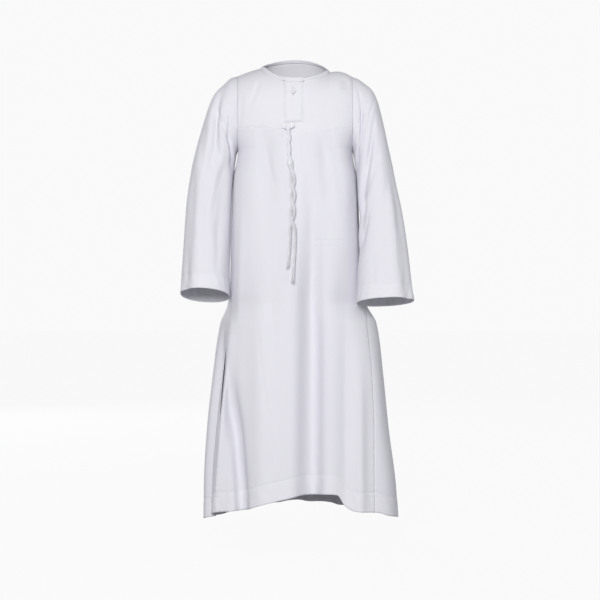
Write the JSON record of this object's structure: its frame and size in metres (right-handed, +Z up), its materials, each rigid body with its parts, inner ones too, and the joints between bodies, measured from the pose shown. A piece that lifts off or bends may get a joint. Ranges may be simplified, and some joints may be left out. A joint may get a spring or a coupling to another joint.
{
  "type": "child's ankle-length robe",
  "caption": "Loose white ankle-length child's robe with round neckband, buttoned front placket, hanging tassel, straight sleeves and flared side gores, as worn.",
  "frame": {"origin": "middle of the neck opening, level with the shoulder line, where the wearer holds the garment up", "axes": "+X to the wearer's left, -Y to the front, +Z up"},
  "size_m": [0.4139, 0.2348, 0.8334],
  "materials": {
    "cloth": "plain-woven white cloth, matt with a faint sheen",
    "cloth_double": "the same white cloth in two layers",
    "tassel_thread": "soft twisted white thread",
    "button": "off-white, softly glossy"
  },
  "bodies": {
    "root": {"front_panel": "cloth", "back_panel": "cloth", "gore_left": "cloth", "gore_right": "cloth", "chest_facing": "cloth_double", "sleeve_left": "cloth", "sleeve_right": "cloth", "neckband": "cloth_double", "placket": "cloth_double", "button": "button", "tassel": "tassel_thread"}
  },
  "joints": []
}
